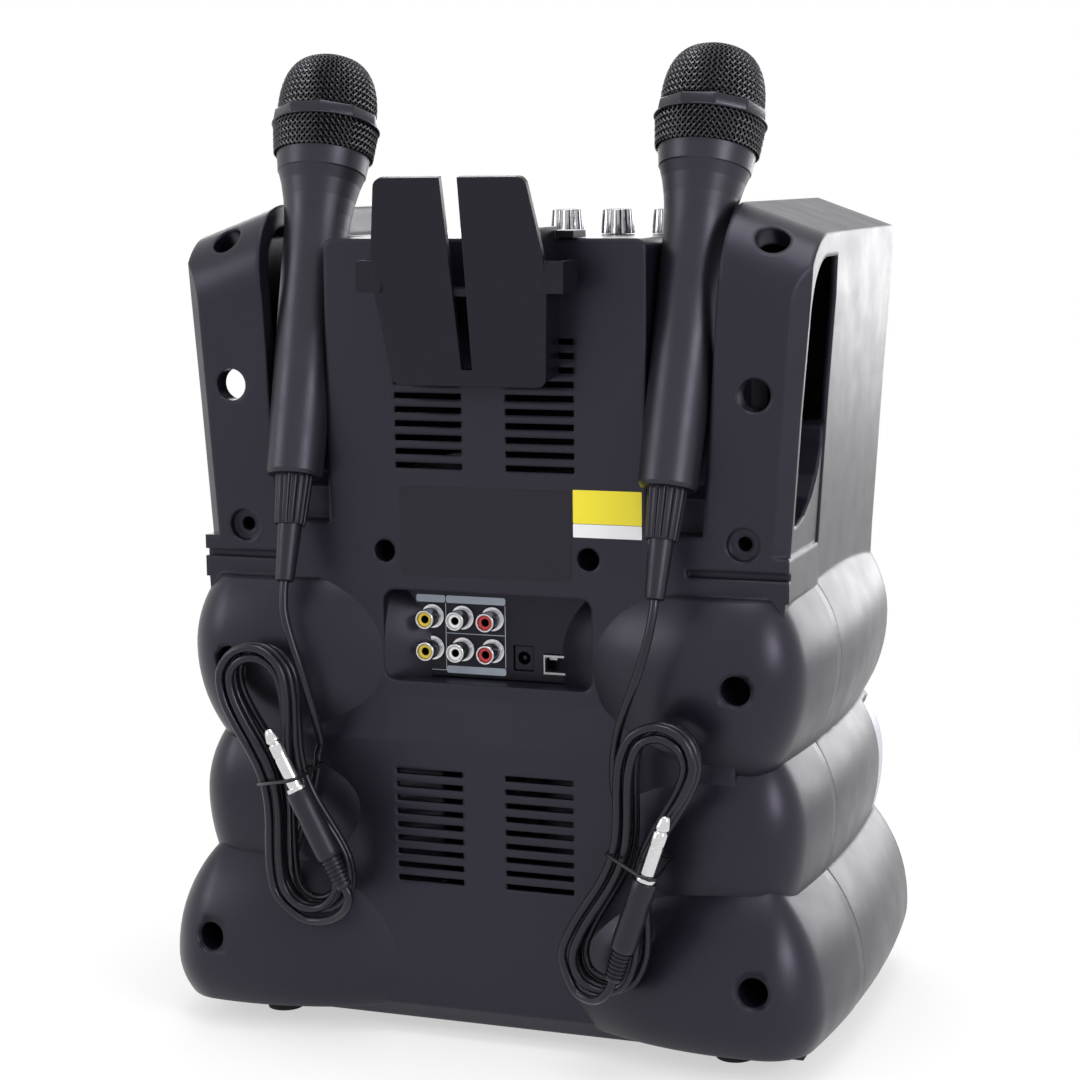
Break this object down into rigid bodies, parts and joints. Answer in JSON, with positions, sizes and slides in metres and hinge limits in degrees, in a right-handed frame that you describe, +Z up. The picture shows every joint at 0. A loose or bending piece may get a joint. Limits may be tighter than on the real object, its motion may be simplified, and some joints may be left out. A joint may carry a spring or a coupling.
{
  "type": "karaoke machine",
  "caption": "Portable karaoke machine with a disc tray, screen and speaker, two corded microphones standing in rear channels, and a phone cradle.",
  "frame": {"origin": "middle of the base, on the plane the feet stand on", "axes": "+X to the object's left seen from the front, +Y to the rear panel, +Z up; the screen and disc tray face -Y"},
  "size_m": [0.306, 0.2132, 0.4232],
  "materials": {
    "shell": "fine textured moulding",
    "trim": "satin",
    "deck": "semi-gloss",
    "lens": "frosted",
    "knob": "polished",
    "window": "clear",
    "screen": "gloss",
    "board": "satin",
    "metal": "plated",
    "button": "satin",
    "power": "satin",
    "tray": "satin",
    "gear": "satin",
    "grille": "satin",
    "cone": "paper cone",
    "phono": "plated",
    "foot": "matte",
    "mesh": "woven wire, black",
    "ring": "gloss black",
    "grip": "satin",
    "relief": "satin",
    "cord": "satin sheath",
    "tie": "coated wire",
    "plug": "plated"
  },
  "bodies": {
    "console": {"rear_cover": "shell", "front_cabinet": "shell", "front_fascia": "trim", "light_lens": "lens", "deck": "deck", "volume_pots": "metal", "screen_bezel": "trim", "screen_window": "window", "lcd_panel": "screen", "button_board": "board", "mic_jacks": "trim", "drive_chassis": "metal", "disc_clamp": "tray", "speaker_grille": "grille", "speaker_basket": "metal", "speaker_cone": "cone", "speaker_magnet": "metal", "av_plate": "trim", "phono_sockets": "phono", "dc_jack": "trim", "usb_port": "metal", "jack_board": "board", "main_board": "board", "case_screws": "metal", "feet": "foot"},
    "tray": {"disc_tray": "tray", "tray_front": "shell"},
    "pinion": {"drive_pinion": "gear"},
    "disc_spindle": {"spindle": "metal"},
    "sled": {"pickup_sled": "trim"},
    "phone_cradle": {"cradle": "trim"},
    "volume_1": {"knob_1": "knob"},
    "volume_2": {"knob_2": "knob"},
    "volume_3": {"knob_3": "knob"},
    "push_1": {"button_1": "button"},
    "push_2": {"button_2": "button"},
    "push_3": {"button_3": "button"},
    "push_4": {"button_4": "button"},
    "push_5": {"button_5": "button"},
    "push_power": {"power_button": "power"},
    "mic_left": {"mic_left_grille": "mesh", "mic_left_ring": "ring", "mic_left_grip": "grip", "mic_left_relief": "relief", "mic_left_cord": "cord", "mic_left_hank": "cord", "mic_left_tie": "tie", "mic_left_plug": "plug", "mic_left_boot": "relief"},
    "mic_left_thumb": {"mic_left_switch": "button"},
    "mic_right": {"mic_right_grille": "mesh", "mic_right_ring": "ring", "mic_right_grip": "grip", "mic_right_relief": "relief", "mic_right_cord": "cord", "mic_right_hank": "cord", "mic_right_tie": "tie", "mic_right_plug": "plug", "mic_right_boot": "relief"},
    "mic_right_thumb": {"mic_right_switch": "button"}
  },
  "joints": [
    {"name": "tray_slide", "type": "slide", "parent": "console", "child": "tray", "axis": [0, -1, 0], "range_m": [0, 0.118]},
    {"name": "pinion_turn", "type": "hinge", "parent": "console", "child": "pinion", "pos_m": [-0.049, -0.08045, 0.224], "axis": [0, 0, 1], "range_deg": [-752, 0]},
    {"name": "spindle_turn", "type": "hinge", "parent": "console", "child": "disc_spindle", "pos_m": [0, -0.02685, 0.226], "axis": [0, 0, 1], "continuous": true},
    {"name": "sled_slide", "type": "slide", "parent": "console", "child": "sled", "axis": [0, 1, 0], "range_m": [0, 0.014]},
    {"name": "cradle_lift", "type": "slide", "parent": "console", "child": "phone_cradle", "axis": [0, 0, 1], "range_m": [0, 0.05]},
    {"name": "volume_turn_1", "type": "hinge", "parent": "console", "child": "volume_1", "pos_m": [-0.062, 0.00255, 0.35], "axis": [0, 0, 1], "range_deg": [-150, 150]},
    {"name": "volume_turn_2", "type": "hinge", "parent": "console", "child": "volume_2", "pos_m": [-0.039, 0.00255, 0.35], "axis": [0, 0, 1], "range_deg": [-150, 150]},
    {"name": "volume_turn_3", "type": "hinge", "parent": "console", "child": "volume_3", "pos_m": [-0.016, 0.00255, 0.35], "axis": [0, 0, 1], "range_deg": [-150, 150]},
    {"name": "push_1_travel", "type": "slide", "parent": "console", "child": "push_1", "axis": [0, 1, 0], "range_m": [0, 0.001], "stiffness_N_per_m": 400, "springref_m": -0.001},
    {"name": "push_2_travel", "type": "slide", "parent": "console", "child": "push_2", "axis": [0, 1, 0], "range_m": [0, 0.001], "stiffness_N_per_m": 400, "springref_m": -0.001},
    {"name": "push_3_travel", "type": "slide", "parent": "console", "child": "push_3", "axis": [0, 1, 0], "range_m": [0, 0.001], "stiffness_N_per_m": 400, "springref_m": -0.001},
    {"name": "push_4_travel", "type": "slide", "parent": "console", "child": "push_4", "axis": [0, 1, 0], "range_m": [0, 0.001], "stiffness_N_per_m": 400, "springref_m": -0.001},
    {"name": "push_5_travel", "type": "slide", "parent": "console", "child": "push_5", "axis": [0, 1, 0], "range_m": [0, 0.001], "stiffness_N_per_m": 400, "springref_m": -0.001},
    {"name": "push_power_travel", "type": "slide", "parent": "console", "child": "push_power", "axis": [0, 1, 0], "range_m": [0, 0.001], "stiffness_N_per_m": 400, "springref_m": -0.001},
    {"name": "mic_left_lift", "type": "slide", "parent": "console", "child": "mic_left", "axis": [0.0089, 0.9478, 0.3188], "range_m": [0, 0.06]},
    {"name": "mic_left_switch_slide", "type": "slide", "parent": "mic_left", "child": "mic_left_thumb", "axis": [0.0265, -0.319, 0.9474], "range_m": [0, 0.005]},
    {"name": "mic_right_lift", "type": "slide", "parent": "console", "child": "mic_right", "axis": [-0.0089, 0.9478, 0.3188], "range_m": [0, 0.06]},
    {"name": "mic_right_switch_slide", "type": "slide", "parent": "mic_right", "child": "mic_right_thumb", "axis": [-0.0265, -0.319, 0.9474], "range_m": [0, 0.005]}
  ],
  "couplings": [
    {"joint": "pinion_turn", "follows": "tray_slide", "rad_per_m": -111.11}
  ]
}
